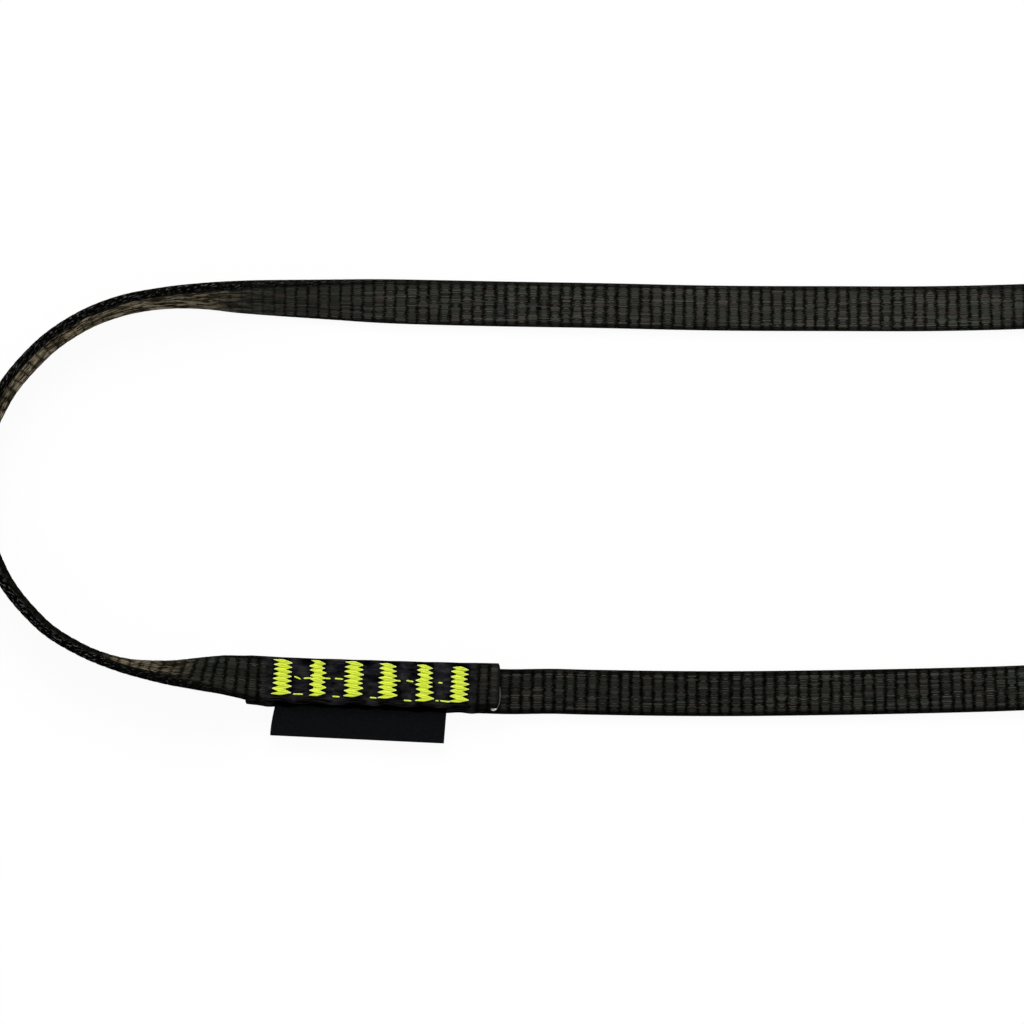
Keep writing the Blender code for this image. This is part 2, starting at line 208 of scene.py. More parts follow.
def on_line(distance):
    """Columns x, y and roll at each distance from the under layer's cut end."""
    along = np.mod(np.asarray(distance) + SEAM_START, ROUND_LENGTH)
    return np.stack([np.interp(along, FAR, column) for column in LINE.T], axis=-1)


def layer_base(distance):
    """The height of the strip's lowest edge: on the ground but for the seam's two layers."""
    under = SEAM_BASE * (1 - eased((distance - SEAM_OVERLAP) / SETTLE))
    upper = UPPER_BASE * eased((distance - ROUND_LENGTH + CLIMB + SEAM_LEAD) / CLIMB)
    return under + upper


def strip_frames(distance):
    """Centre, way along, way across and way up of the strip at each distance."""
    spot, reach = on_line(distance), WEBBING_WIDTH / 8
    way = (on_line(distance + reach) - on_line(distance - reach))[:, :2]
    way /= np.linalg.norm(way, axis=1, keepdims=True)
    inward = np.stack([-way[:, 1], way[:, 0]], axis=1)
    seamed = distance < SEAM_OVERLAP + SETTLE
    roll = np.where(seamed, 0.0, np.maximum(spot[:, 2], 0.0)) * math.pi / 2
    under = 1 - eased((distance - SEAM_OVERLAP) / SETTLE)
    upper = eased((distance - ROUND_LENGTH + CLIMB) / CLIMB)
    stray = np.where(distance < STRIP_LENGTH / 2, np.interp(distance, *zip(*UNDER_STRAY)), 0.0)
    upper_stray = np.interp(distance - ROUND_LENGTH, *zip(*UPPER_STRAY))
    stray += np.where(distance > STRIP_LENGTH / 2, upper_stray, 0.0)
    plan = spot[:, :2] + inward * ((upper - under) * SEAM_LIP / 2 - stray)[:, None]
    height = layer_base(distance) + HALF_FLAT * np.sin(roll) + WEBBING_THICKNESS / 2
    climb = (layer_base(distance + reach) - layer_base(distance - reach)) / (2 * reach)
    along = np.column_stack([way, climb])
    along /= np.linalg.norm(along, axis=1, keepdims=True)
    up = np.column_stack([inward * np.sin(roll)[:, None], np.cos(roll)])
    up -= along * np.sum(up * along, axis=1, keepdims=True)
    up /= np.linalg.norm(up, axis=1, keepdims=True)
    return np.column_stack([plan, height]), along, np.cross(up, along), up


def webbing_section():
    """The flattened tube's outline from the middle of its back: across, above, way out and girth."""
    radius = WEBBING_THICKNESS / 2
    turn = np.linspace(0.0, math.pi, 8)[1:-1]
    back = np.linspace(0.0, HALF_FLAT, 7)
    face = np.linspace(HALF_FLAT, -HALF_FLAT, 15)
    across = [*back, *(HALF_FLAT + radius * np.sin(turn)), *face, *(-HALF_FLAT - radius * np.sin(turn))]
    above = [*(0 * back - radius), *(-radius * np.cos(turn)), *(0 * face + radius), *(radius * np.cos(turn))]
    across, above = np.array([*across, *-back[:0:-1]]), np.array([*above, *(0 * back[:0:-1] - radius)])
    out_across = (across - np.clip(across, -HALF_FLAT, HALF_FLAT)) / radius
    closed = np.vstack([np.column_stack([across, above]), [[across[0], above[0]]]])
    girth = np.concatenate([[0.0], np.cumsum(np.linalg.norm(np.diff(closed, axis=0), axis=1))])
    return across, above, out_across, above / radius, girth - girth[-1] / 2


def tack_press(place):
    """How deep the bar tacks dip at each place along the seam, and how closely the layers lie there."""
    dip = sum(np.exp(-(((place - tack) / TACK_REACH) ** 2)) for tack in TACK_PLACES)
    start = eased((place - TACK_PLACES[0] + PRESS_LEAD) / PRESS_RISE)
    return dip, start * eased((TACK_PLACES[-1] + PRESS_TAIL - place) / PRESS_FALL)


def nearness(distance, places, reach):
    """1 at each of some places along the strip, and 0 beyond their reach."""
    return sum(np.exp(-(((distance - place) / reach) ** 4)) for place in places)


def groove_bows(yarn, across):
    """How far each groove wanders along the strip, at each place across it."""
    each = (RIBS + 1, 1)
    bows = yarn.uniform(0.3, 1.0, each) * GROOVE_BOW
    waves, turns = yarn.uniform(0.8, 2.2, each), yarn.uniform(0, 6, each)
    bows = bows * np.sin(waves * across / HALF_FLAT + turns)
    bows += yarn.normal(0.0, GROOVE_SLANT, each) * across
    bows[[0, -1]] = 0.0
    return bows


def rib_rings(across):
    """The mesh's rings, in each rib's profile: place along the strip, rib number, height and bow."""
    yarn = np.random.default_rng(16)
    pitch = 1 + PITCH_SPREAD * yarn.standard_normal(RIBS)
    pitch *= STRIP_LENGTH / pitch.sum()
    edges = np.concatenate([[0.0], np.cumsum(pitch)])
    bows = groove_bows(yarn, across)
    lifts = yarn.uniform(0.85, 1.0, RIBS)
    phase, profile = np.array(RIB_PROFILE).T
    distance = np.append((edges[:-1, None] + phase * pitch[:, None]).ravel(), STRIP_LENGTH)
    count = np.append((np.arange(RIBS)[:, None] + phase).ravel(), RIBS)
    rib = np.append((profile * lifts[:, None]).ravel(), 0.0)
    shift = (1 - phase)[:, None] * bows[:-1, None] + phase[:, None] * bows[1:, None]
    return distance, count, rib, np.vstack([shift.reshape(-1, len(across)), bows[-1:]])


class StripState:
    """How far the strip is tacked, stood on edge, drawn smooth, slack and melted at each ring, and how pale
    the painted light and shade along it make it.
    """

    def __init__(self, distance):
        self.under = distance < STRIP_LENGTH / 2
        dip, self.pressed = tack_press(np.where(self.under, distance, distance - ROUND_LENGTH))
        self.dip = dip * self.pressed
        self.roll = np.maximum(on_line(distance)[:, 2] * (distance > SEAM_OVERLAP + SETTLE), 0.0)
        self.drawn = nearness(distance, DRAWN_PLACES, DRAWN_REACH)
        self.slack = nearness(distance, DRAWN_PLACES, SLACK_REACH)
        # The painted light and shade along the strip.
        self.painted_light = np.interp(distance, *zip(*PAINTED_LIGHT_ALONG))
        from_end = np.minimum(distance, STRIP_LENGTH - distance)
        self.melted = 1 - eased(from_end / MELTED_FADE)
        self.size = 1 - MELTED_SHARE * (1 - np.clip(from_end / MELTED_LENGTH, 0, 1)) ** 2


def webbing_inset(strip, rib, across, out_above):
    """How far the surface lies inside the plain outline: in the grooves, under the tacks and in the seam."""
    left = (1 - TACKED_SHARE * strip.pressed) * (1 - DRAWN_SHARE * strip.drawn)
    left = left * (1 - STANDING_SHARE * eased((strip.roll - 0.5) / 0.2))
    sunk = RIB_RISE * (1 - rib) * left
    inset = sunk[:, None] * (SELVEDGE_SHARE + (1 - SELVEDGE_SHARE) * np.abs(out_above) ** 5)
    outer = np.where(strip.under[:, None], -out_above, out_above) > 0.5
    inner = np.where(strip.under[:, None], out_above, -out_above) > 0.5
    edge = eased((WEBBING_WIDTH / 2 - np.abs(across)) / EDGE_FADE)
    inset = inset + outer * strip.dip[:, None] * TACK_DIP * edge
    closing = SEAM_CLOSING + TACK_CLOSING * strip.dip[:, None] * (across > LABEL_COVER)
    return inset - inner * strip.pressed[:, None] * edge * closing


def tube_faces(rings, sides):
    """The faces round a tube and over its two ends, and the ring and the side at each corner round it."""
    ring, side = np.meshgrid(np.arange(rings - 1), np.arange(sides), indexing="ij")
    ring, side = ring.ravel(), side.ravel()
    rows = np.stack([ring, ring, ring + 1, ring + 1], axis=1)
    columns = np.stack([side, side + 1, side + 1, side], axis=1)
    faces = rows * sides + columns % sides
    caps = [list(range(sides))[::-1], [(rings - 1) * sides + n for n in range(sides)]]
    return faces.tolist() + caps, rows.ravel(), columns.ravel()


def webbing_mesh():
    across, above, out_across, out_above, girth = webbing_section()
    distance, count, rib, shift = rib_rings(across)
    strip = StripState(distance)
    inset = webbing_inset(strip, rib, across, out_above)
    puckered = PUCKER_SHARE * (strip.pressed - strip.dip)[:, None] * (across < PUCKER_PLACE)
    width = strip.size[:, None] * (1 - TACK_NARROWING_SHARE * strip.dip[:, None] + puckered)
    right = across * width - inset * out_across
    high = above * strip.size[:, None] - inset * out_above
    centre, along, aside, up = strip_frames(distance)
    points = (
        centre[:, None]
        + along[:, None] * shift[:, :, None]
        + aside[:, None] * right[:, :, None]
        + up[:, None] * high[:, :, None]
    )

    rings, sides = right.shape
    faces, rows, columns = tube_faces(rings, sides)
    mesh = bpy.data.meshes.new("webbing_strip")
    mesh.from_pydata(points.reshape(-1, 3), [], faces)
    ends = np.repeat([0, rings - 1], sides)
    weave = np.column_stack([count[rows], girth[columns] / FLOAT_PITCH])
    weave = np.vstack([weave, np.column_stack([count[ends], 0 * ends])])
    corners = np.concatenate([rows, ends])
    state = np.column_stack([strip.pressed * (0.5 + 0.5 * strip.dip), strip.melted])[corners]
    bend = np.column_stack([strip.roll, strip.drawn])[corners]
    # The painted light and shade along the strip, and how slack it is.
    painted_light_and_slack = np.column_stack([strip.painted_light, strip.slack])[corners]
    for name, values in (("weave", weave), ("state", state), ("bend", bend), ("painted_light_and_slack", painted_light_and_slack)):
        mesh.uv_layers.new(name=name).data.foreach_set("uv", values.astype(np.float32).ravel())
    mesh.shade_smooth()
    return mesh


class Amount:
    """A number that varies over a surface. Each sum with it adds a node to the material."""

    def __init__(self, tree, socket):
        self.tree, self.socket = tree, socket

    def math(self, operation, *terms):
        made = self.tree.nodes.new("ShaderNodeMath")
        made.operation = operation
        for place, term in zip(made.inputs, terms):
            feed(self.tree, place, term)
        return Amount(self.tree, made.outputs[0])

    def __add__(self, other):
        return self.math("ADD", self, other)

    def __mul__(self, other):
        return self.math("MULTIPLY", self, other)

    def __sub__(self, other):
        return self.math("SUBTRACT", self, other)

    def __rsub__(self, other):
        return self.math("SUBTRACT", other, self)

    def __abs__(self):
        return self.math("ABSOLUTE", self)

    def whole(self):
        return self.math("FLOOR", self)

    def part(self):
        return self.math("FRACT", self)

    def arch(self):
        """Half a wave over each whole step: 0 at both ends and 1 in the middle."""
        return self.math("SINE", self.part() * math.pi)

    def least(self, other):
        return self.math("MINIMUM", self, other)

    def most(self, other):
        return self.math("MAXIMUM", self, other)

    def ramp(self, low, high):
        """0 up to low, 1 from high, with a smooth climb between."""
        made = self.tree.nodes.new("ShaderNodeMapRange")
        made.interpolation_type = "SMOOTHSTEP"
        for place, term in zip(made.inputs, (self, low, high)):
            feed(self.tree, place, term)
        return Amount(self.tree, made.outputs[0])


def feed(tree, place, term):
    """Gives a socket a fixed value or what comes out of another node."""
    if isinstance(term, Amount):
        tree.links.new(term.socket, place)
    elif isinstance(term, tuple) and place.type == "RGBA":
        place.default_value = (*term, 1.0)
    else:
        place.default_value = term


class Surface:
    """A material whose pattern is written out as sums of what its maps and clouds give."""

    def __init__(self, name, **settings):
        self.material = bpy.data.materials.new(name)
        self.material.use_nodes = True
        self.tree = self.material.node_tree
        self.shader = self.tree.nodes["Principled BSDF"]
        for socket, value in settings.items():
            self.set(socket.replace("_", " "), value)

    def set(self, socket, value):
        feed(self.tree, self.shader.inputs[socket], value)

    def node(self, kind, *fed, **settings):
        """Adds a node with its settings, and feeds its sockets: pairs of a socket and a term."""
        made = self.tree.nodes.new("ShaderNode" + kind)
        for name, value in settings.items():
            setattr(made, name, value)
        for socket, term in fed:
            feed(self.tree, made.inputs[socket], term)
        return made

    def out(self, socket):
        return Amount(self.tree, socket)

    def colour(self, share, first, second):
        return self.out(self.node("Mix", (0, share), (6, first), (7, second), data_type="RGBA").outputs[2])

    def map(self, name):
        split = self.node("SeparateXYZ", (0, self.out(self.node("UVMap", uv_map=name).outputs[0])))
        return self.out(split.outputs[0]), self.out(split.outputs[1])

    def spot(self, x, y):
        return self.out(self.node("CombineXYZ", (0, x), (1, y)).outputs[0])

    def chance(self, x, y):
        """An even random number for each whole x and y."""
        made = self.node("TexWhiteNoise", ("Vector", self.spot(x, y)), noise_dimensions="2D")
        return self.out(made.outputs["Value"])

    def cloud(self, x, y, detail=2.0):
        fed = (("Vector", self.spot(x, y)), ("Scale", 1.0), ("Detail", detail))
        return self.out(self.node("TexNoise", *fed, noise_dimensions="2D").outputs[0])

    def raise_by(self, height, distance, strength):
        fed = (("Distance", distance), ("Strength", strength), ("Height", height))
        self.set("Normal", self.out(self.node("Bump", *fed).outputs[0]))


# Places round the strip, in millimetres from the middle of its upper face: the middle of a selvedge, where
# the upper face ends, where the outer edge begins, and two rows whose floats stand proud.
EDGE_GIRTH = (HALF_FLAT + WEBBING_THICKNESS * math.pi / 4) * 1000
FACE_GIRTH = 9.0
RIM_GIRTH = 5.4
PROUD_GIRTH = 1.95
OTHER_PROUD_GIRTH = -6.1

# Colours are linear amounts of red, green and blue.
# The near-black ground colours, to which the grooves, the selvedges and the darkest stretches fall, are
# painted shade on the black weave.
BLACK_GROUND_IN_SHADE = (0.0012, 0.0013, 0.0008)
GREY_GROUND_IN_SHADE = (0.0022, 0.0023, 0.0014)
OLIVE_FLOATS = (0.057, 0.051, 0.039)
GREEN_FLOATS = (0.045, 0.053, 0.040)
REDDISH_FLOATS = (0.060, 0.032, 0.029)
# The inner faces of the bends take paler colours, which are painted light.
INNER_FLOATS_IN_PAINTED_LIGHT = (0.096, 0.087, 0.069)
BROWN_INNER_FLOATS_IN_PAINTED_LIGHT = (0.098, 0.074, 0.040)
# A painted highlight on the lightest floats of the flat runs.
PAINTED_FLOAT_HIGHLIGHT = (0.130, 0.130, 0.118)
# Painted glints on the filaments of the selvedges.
PAINTED_FILAMENT_GLINTS = (0.165, 0.163, 0.172)
# Near black, partly painted shade, at the tacks, and grey with painted light on the swellings between them.
TACKED_BLACK_IN_SHADE = (0.0008, 0.0009, 0.0005)
SWELLING_IN_PAINTED_LIGHT = (0.0290, 0.0290, 0.0310)
BLUE_BLACK = (0.0048, 0.0046, 0.0140)
RIM_GREY = (0.0260, 0.0220, 0.0210)
MELTED_BLACK = (0.006, 0.006, 0.006)
WARM_SHEEN = (1.0, 0.85, 0.56)


class StripPlaces:
    """What the mesh says of each place on the strip, and which float of yarn lies there."""

    def __init__(self, cloth):
        # Along the strip the ribs are counted, and round it the floats.
        self.along, floats = cloth.map("weave")
        self.girth = floats * (FLOAT_PITCH * 1000)
        self.from_edge = abs(self.girth) - EDGE_GIRTH
        self.pressing, self.melted = cloth.map("state")
        self.roll, self.drawn = cloth.map("bend")
        # How pale the painted light and shade along the strip make the webbing, and how slack it is.
        self.painted_light, self.slack = cloth.map("painted_light_and_slack")
        self.standing = self.roll.ramp(0.16, 0.70)
        on_face = 1.0 - abs(self.girth).ramp(FACE_GIRTH - 0.5, FACE_GIRTH + 0.5)
        self.facing_in = self.roll.ramp(0.50, 0.70) * on_face
        # The floats lie side by side along the strip, and each passes over one rib.
        self.lane = floats + (cloth.cloud(self.along * 0.4, self.girth * 2.0) - 0.5) * 1.4
        self.rib, self.yarn = self.along.whole(), self.lane.whole()
        self.other = (self.yarn * 0.5).part() * 2.0
        self.tone = cloth.chance(self.rib, self.yarn)


def float_rows(cloth, at):
    """How proud the rows of floats stand and how plainly they show, their lightness, and the gaps between
    with painted shade.
    """
    proud = abs(at.girth - PROUD_GIRTH).ramp(0.3, 0.9) * abs(at.girth - OTHER_PROUD_GIRTH).ramp(0.4, 1.2)
    proud = 1.0 - proud
    band = cloth.cloud(at.along * 0.05, at.girth * 0.38).ramp(0.40, 0.60)
    band = band.most(at.drawn).most(proud * 0.8)
    row_tone = cloth.cloud(at.along * 0.09, at.yarn * 5.3).ramp(0.35, 0.65)
    level = (at.tone - 0.5) * (band * 0.70 + 0.36) + (row_tone - 0.5) * (band * 0.50 + 0.20)
    level = level + (at.other - 0.25) * (band * 0.56 + 0.20) + 0.42
    # Each float is darkened along one side, toward the gap to the next, with painted shade.
    gap_shade = at.lane.part().ramp(0.50, 0.90) * (band * 0.50 + 0.35)
    return proud, band, level.most(0.06), gap_shade


def rib_tops(cloth, at, band):
    """1 on a rib and 0 in a groove. Each float ends a little sooner or later."""
    from_middle = abs(at.along.part() * 2.0 - 1.0)
    ragged = (cloth.chance(at.yarn, at.rib) - 0.5) * (band * 0.26 + 0.28) + (at.other - 0.5) * 0.24
    groove = (from_middle + ragged - at.slack * 0.14).ramp(0.50, 0.84)
    fade = cloth.cloud(at.along * 0.8, at.girth * 0.6) * 0.40 + 0.72
    return 1.0 - groove * fade.least(1.0 - at.drawn * 0.68) * (1.0 - at.facing_in * 0.15)


def bend_streaks(cloth, at):
    """Where the strip stands up and twists, the floats run on into each other as wavy streaks."""
    wave = cloth.cloud(at.along * 0.5, at.girth * 0.5) * 3.0
    streak = cloth.cloud(at.along * 0.45, at.girth * 0.95 + wave).ramp(0.45, 0.62)
    streak = streak * 1.05 + (at.tone - 0.5) * 0.45 + (cloth.chance(at.rib, 3.0) - 0.5) * 0.30 - 0.03
    return streak.most(0.0), (at.drawn * 0.85).most(at.facing_in * 0.85)


def selvedges(cloth, at):
    """The dense selvedges, which are near black, and small slanting painted glints on their filaments. Where
    the strip stands, the upper selvedge's dark band reaches onto the inner face as painted shade.
    """
    # On the standing strip the upper selvedge's dark band is widened with painted shade.
    reach = at.roll.ramp(0.30, 0.80) * (at.girth.ramp(-1.0, 1.0) * (3.6 - at.painted_light) - 1.2) + 2.15
    reach = reach + (cloth.cloud(at.along * 0.9, at.girth * 0.8) - 0.5) * at.standing * 1.8
    selvedge = 1.0 - (abs(at.from_edge) - reach).ramp(-0.2, 1.0)
    # Painted glints of the filaments, on the selvedges and, where the strip is near black, over its whole
    # width.
    glint_share = selvedge.most(0.12 - at.painted_light.ramp(0.05, 0.30) * 0.12)
    glint_share = glint_share * (at.standing * 0.8 + 0.1) * (1.0 - at.painted_light * 0.2)
    dim = 1.0 - abs(at.painted_light - 0.48).ramp(0.16, 0.34)
    filament_glint = cloth.cloud(at.along * 2.9 + at.from_edge * 1.2, at.from_edge * 1.5).ramp(0.59, 0.68)
    return selvedge, filament_glint * glint_share * (1.0 - dim * 0.6)


def float_colour(cloth, at, selvedge):
    """The light floats are olive, green and in places reddish, and on the inner faces of the bends they take
    paler colours, some brown, as painted light.
    """
    patch = cloth.cloud(at.along * 0.45, at.girth * 0.3).ramp(0.35, 0.65)
    light = cloth.colour(patch, OLIVE_FLOATS, GREEN_FLOATS)
    patch = cloth.cloud(at.along * 0.45 + 31.0, at.girth * 0.3).ramp(0.60, 0.72)
    light = cloth.colour(patch * at.painted_light.ramp(0.45, 0.80) * 0.45, light, REDDISH_FLOATS)
    # On the inner faces of the bends the floats are paler, some brown, as painted light.
    patch = cloth.cloud(at.along * 0.30 + 57.0, at.girth * 0.24).ramp(0.40, 0.60)
    painted_inner_light = cloth.colour(patch, INNER_FLOATS_IN_PAINTED_LIGHT, BROWN_INNER_FLOATS_IN_PAINTED_LIGHT)
    return cloth.colour(at.facing_in * (1.0 - selvedge), light, painted_inner_light)


def sewn_colour(cloth, at):
    """Under the bar tacks the webbing is drawn tight and near black, partly with painted shade in its dips,
    and between them it swells a little and carries painted light.
    """
    stretch = cloth.cloud(at.along * 0.7, at.girth * 0.32).ramp(0.30, 0.66)
    # The swellings between the tacks carry painted light, and the rest is near black, partly painted shade.
    lit_swell = stretch * (1.0 - at.pressing.ramp(0.55, 0.85)) * (at.tone * 0.7 + 0.3)
    face = cloth.colour(lit_swell, TACKED_BLACK_IN_SHADE, SWELLING_IN_PAINTED_LIGHT)
    blue = cloth.cloud(at.along * 0.9 + 11.0, at.girth * 0.5).ramp(0.50, 0.64)
    face = cloth.colour(blue * 0.5, face, BLUE_BLACK)
    rim = at.girth.ramp(RIM_GIRTH - 0.4, RIM_GIRTH + 0.4) * (1.0 - at.from_edge.ramp(-1.2, -0.6))
    line = cloth.cloud(at.along * 0.4, at.girth * 2.8).ramp(0.48, 0.60)
    return cloth.colour(rim * line * 0.55, face, RIM_GREY)


def webbing_surface():
    cloth = Surface("ribbed_webbing", Roughness=0.52, Specular_IOR_Level=0.2)
    cloth.set("Sheen Weight", 0.003)
    cloth.set("Sheen Roughness", 0.40)
    cloth.set("Sheen Tint", WARM_SHEEN)
    at = StripPlaces(cloth)
    proud, band, level, gap_shade = float_rows(cloth, at)
    top = rib_tops(cloth, at, band)
    streak, streaky = bend_streaks(cloth, at)
    selvedge, filament_glint = selvedges(cloth, at)
    # The floats are darkened toward the ground colour by their random tone, and with painted shade in the
    # grooves between the ribs.
    shade = top * level * (1.0 - gap_shade)
    shade = shade * (1.0 - streaky) + streak * top * streaky
    # The selvedges darken the floats, and more where the strip stands, with painted shade there.
    shade = shade * (1.0 - selvedge * (at.standing * 0.36 + 0.60))

    # The ground colour is painted shade, a little greyer where the strip lies flat in strong painted light.
    shaded_ground = cloth.colour(at.painted_light.ramp(0.5, 1.0) * (1.0 - at.standing), BLACK_GROUND_IN_SHADE, GREY_GROUND_IN_SHADE)
    woven = cloth.colour(shade * at.painted_light, shaded_ground, float_colour(cloth, at, selvedge))
    # The floats of lightest tone, most in the proud rows, get a painted highlight, stronger in the darker
    # stretches and none where the strip stands.
    float_highlight = (level - 0.58).ramp(0.0, 0.4) * (proud * 0.65 + 0.35) * top * (1.0 - gap_shade)
    float_highlight = float_highlight * (1.3 - at.painted_light * 0.3) * (1.0 - at.standing)
    woven = cloth.colour(float_highlight * 0.16, woven, PAINTED_FLOAT_HIGHLIGHT)
    # Painted glints on the filaments.
    woven = cloth.colour(filament_glint * 0.50, woven, PAINTED_FILAMENT_GLINTS)
    pressed = at.pressing.ramp(0.05, 0.5)
    woven = cloth.colour(pressed, woven, sewn_colour(cloth, at))
    cloth.set("Base Color", cloth.colour(at.melted, woven, MELTED_BLACK))

    # The ribs of the flat runs have a low gloss, and the inside of the bends looks paler from a low angle.
    gloss = top * (0.18 - selvedge * 0.17) * (1.0 - pressed * 0.75)
    cloth.set("Specular IOR Level", gloss * (at.painted_light * 0.8 + 0.2) * (1.0 - at.standing))
    cloth.set("Sheen Weight", at.facing_in * (1.0 - selvedge) * shade * at.painted_light * 1.1)
    fibre = cloth.cloud(at.along * 1.5, at.girth * 10.0)
    relief = top * at.lane.arch() * 0.7 + fibre * 0.25
    cloth.raise_by(relief * (1.0 - at.melted), FLOAT_HEIGHT, 0.8)
    return cloth.material


def new_piece(name, mesh, surface):
    made = bpy.data.objects.new(name, mesh)
    scene.collection.objects.link(made)
    mesh.materials.append(surface)
    return made


webbing = new_piece("webbing_strip", webbing_mesh(), webbing_surface())
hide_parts("webbing")
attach(webbing, "sling_loop")


# The label is one dark satin ribbon, folded double. Its cut edges are sewn in between the two layers, and
# its fold lies out beyond the lip. Its face is plain.
LABEL_START = 0.0106 - SEAM_OVERLAP / 2
LABEL_LENGTH = 0.0613
LABEL_PLY = 0.00026
# The height of the middle between its plies. Across the seam: its cut edges, its root at the edge of the
# upper layer, and its fold.
LABEL_MIDDLE = 0.00427
LABEL_SEWN_EDGE = -0.00105
LABEL_ROOT = -0.00785
LABEL_FOLD = -0.01985
FOLD_RADIUS = 0.00017
# The free part flares out at its left end, draws in at its right end, hangs down a little and ripples.
LABEL_FLARE = 0.0021
LABEL_TAPER = 0.0005
LABEL_SLANT = 0.0004
LABEL_DROOP = 0.0005
# Each ripple: height, waves along the label as an angle, and the angle at which it starts.
RIPPLES = ((0.00016, 9.0, 1.0), (0.0001, 23.0, 0.0))
# The seam's middle on the ground, and the ways along and across it.
SEAM_SPOT = np.array([-0.11972, -0.062171, 0.0])
SEAM_ALONG = np.array([0.999188, -0.040282, 0.0])
SEAM_ACROSS = np.array([0.040282, 0.999188, 0.0])
# In millimetres: the width and length of the ribbon's floats, and how far down the painted shadow in the
# corner reaches.
SATIN_FLOAT_WIDTH = 0.16
SATIN_FLOAT_LENGTH = 0.62
CORNER_SHADOW_DEPTH = 8.1
SATIN_HEIGHT = 0.00005
SATIN_GROUND = (0.0005, 0.0007, 0.0011)
# The lighter float colour is a painted sheen on the dark satin.
SATIN_FLOATS = (0.0025, 0.0036, 0.0054)
SATIN_LOOSE = (0.0180, 0.0210, 0.0260)
CORNER_SHADOW_BLACK = (0.0003, 0.0003, 0.0004)


def from_seam(spots):
    """Places along the seam, across it and up, as places in the model."""
    along, across, up = np.moveaxis(np.asarray(spots, float)[..., None], -2, 0)
    return SEAM_SPOT + along * SEAM_ALONG + across * SEAM_ACROSS + up * (0, 0, 1)


def label_mesh():
    """The ribbon's path is down the front ply, round the fold and back up, and it is given a thickness."""
    down = np.linspace(LABEL_SEWN_EDGE, LABEL_FOLD + FOLD_RADIUS, 46)
    turn = np.linspace(0.0, math.pi, 9)[1:-1]
    path = [(y, FOLD_RADIUS, 0.0, 1.0) for y in down]
    path += [
        (LABEL_FOLD + FOLD_RADIUS * (1 - math.sin(t)), FOLD_RADIUS * math.cos(t), -math.sin(t), math.cos(t))
        for t in turn
    ]
    path += [(y, -FOLD_RADIUS, 0.0, -1.0) for y in down[::-1]]
    path = np.array(path)
    steps = np.linalg.norm(np.diff(path[:, :2], axis=0), axis=1)
    run = np.concatenate([[0.0], np.cumsum(steps)])
    outer = path[:, :2] + path[:, 2:] * LABEL_PLY / 2
    inner = path[:, :2] - path[:, 2:] * LABEL_PLY / 2
    ring = np.vstack([outer, inner[::-1]])
    ring_run = np.concatenate([run, run[::-1]])
    front = np.concatenate([np.linspace(1, 0, len(path)), np.linspace(0, 1, len(path))])

    columns = np.linspace(0.0, 1.0, 64)
    out = np.clip((LABEL_ROOT - ring[:, 0]) / (LABEL_ROOT - LABEL_FOLD), 0.0, 1.0)
    flare = LABEL_FLARE * out**0.8 * eased((front - 0.1) / 0.6)
    rows = []
    for share in columns:
        x = LABEL_START + share * LABEL_LENGTH - flare * (1 - share) - LABEL_TAPER * out * share
        ripple = sum(height * math.sin(waves * share + start) for height, waves, start in RIPPLES)
        z = LABEL_MIDDLE + ring[:, 1] - LABEL_DROOP * out**1.6 + ripple * out
        rows.append(np.column_stack([x, ring[:, 0] - LABEL_SLANT * out * share, z]))
    points = from_seam(np.array(rows))
    count = len(ring)
    faces = []
    for n in range(len(columns) - 1):
        for m in range(count):
            corners = ((n, m), (n + 1, m), (n + 1, m + 1), (n, m + 1))
            faces.append([a * count + b % count for a, b in corners])
    caps = [list(range(count)), [(len(columns) - 1) * count + m for m in range(count)][::-1]]
    mesh = bpy.data.meshes.new("folded_label")
    mesh.from_pydata(points.reshape(-1, 3), [], faces + caps)
    uv = mesh.uv_layers.new(name="ribbon")
    for polygon in mesh.polygons:
        for loop in polygon.loop_indices:
            column, place = divmod(mesh.loops[loop].vertex_index, count)
            uv.data[loop].uv = (columns[column] * LABEL_LENGTH * 1000, ring_run[place] * 1000)
    mesh.shade_smooth()
    mesh.set_sharp_from_angle(angle=math.radians(40))
    return mesh


def label_surface():
    satin = Surface("label_satin", Specular_IOR_Level=0.06)
    along, down = satin.map("ribbon")
    # A satin twill: fine floats down the ribbon, each row stepped against the one before it.
    yarns = along * (1 / SATIN_FLOAT_WIDTH)
    warp = yarns.whole()
    float_place = down * (1 / SATIN_FLOAT_LENGTH) + warp * 0.375
    tone = satin.chance(warp, float_place.whole())
    bind = abs(float_place.part() * 2.0 - 1.0).ramp(0.70, 0.98)
    # Each float is lighter along its middle as a painted sheen, in cloudy patches and with a random tone for
    # each float.
    lie = yarns.arch() * (1.0 - bind)
    sheen_patches = satin.cloud(along * 0.25, down * 0.5, 3.0)
    ground = satin.colour(lie * (tone * 0.5 + sheen_patches * 0.7), SATIN_GROUND, SATIN_FLOATS)
    # Here and there a filament has worked loose and catches the light.
    loose = satin.cloud(along * 1.3 + down * 0.6, down * 1.1).ramp(0.62, 0.72)
    ground = satin.colour(loose * lie * 0.5, ground, SATIN_LOOSE)
    # In the corner under the layer's edge the ribbon carries a painted shadow: it is darker there and has no
    # gloss.
    corner = down + (satin.cloud(along * 0.13, 2.0) - 0.5) * 2.2
    corner = 1.0 - corner.ramp(CORNER_SHADOW_DEPTH - 0.3, CORNER_SHADOW_DEPTH + 0.3)
    satin.set("Base Color", satin.colour(corner, ground, CORNER_SHADOW_BLACK))
    satin.set("Specular IOR Level", 0.06 - corner * 0.06)
    satin.set("Roughness", tone * 0.16 + 0.44)
    satin.raise_by(lie, SATIN_HEIGHT, 0.9)
    return satin.material


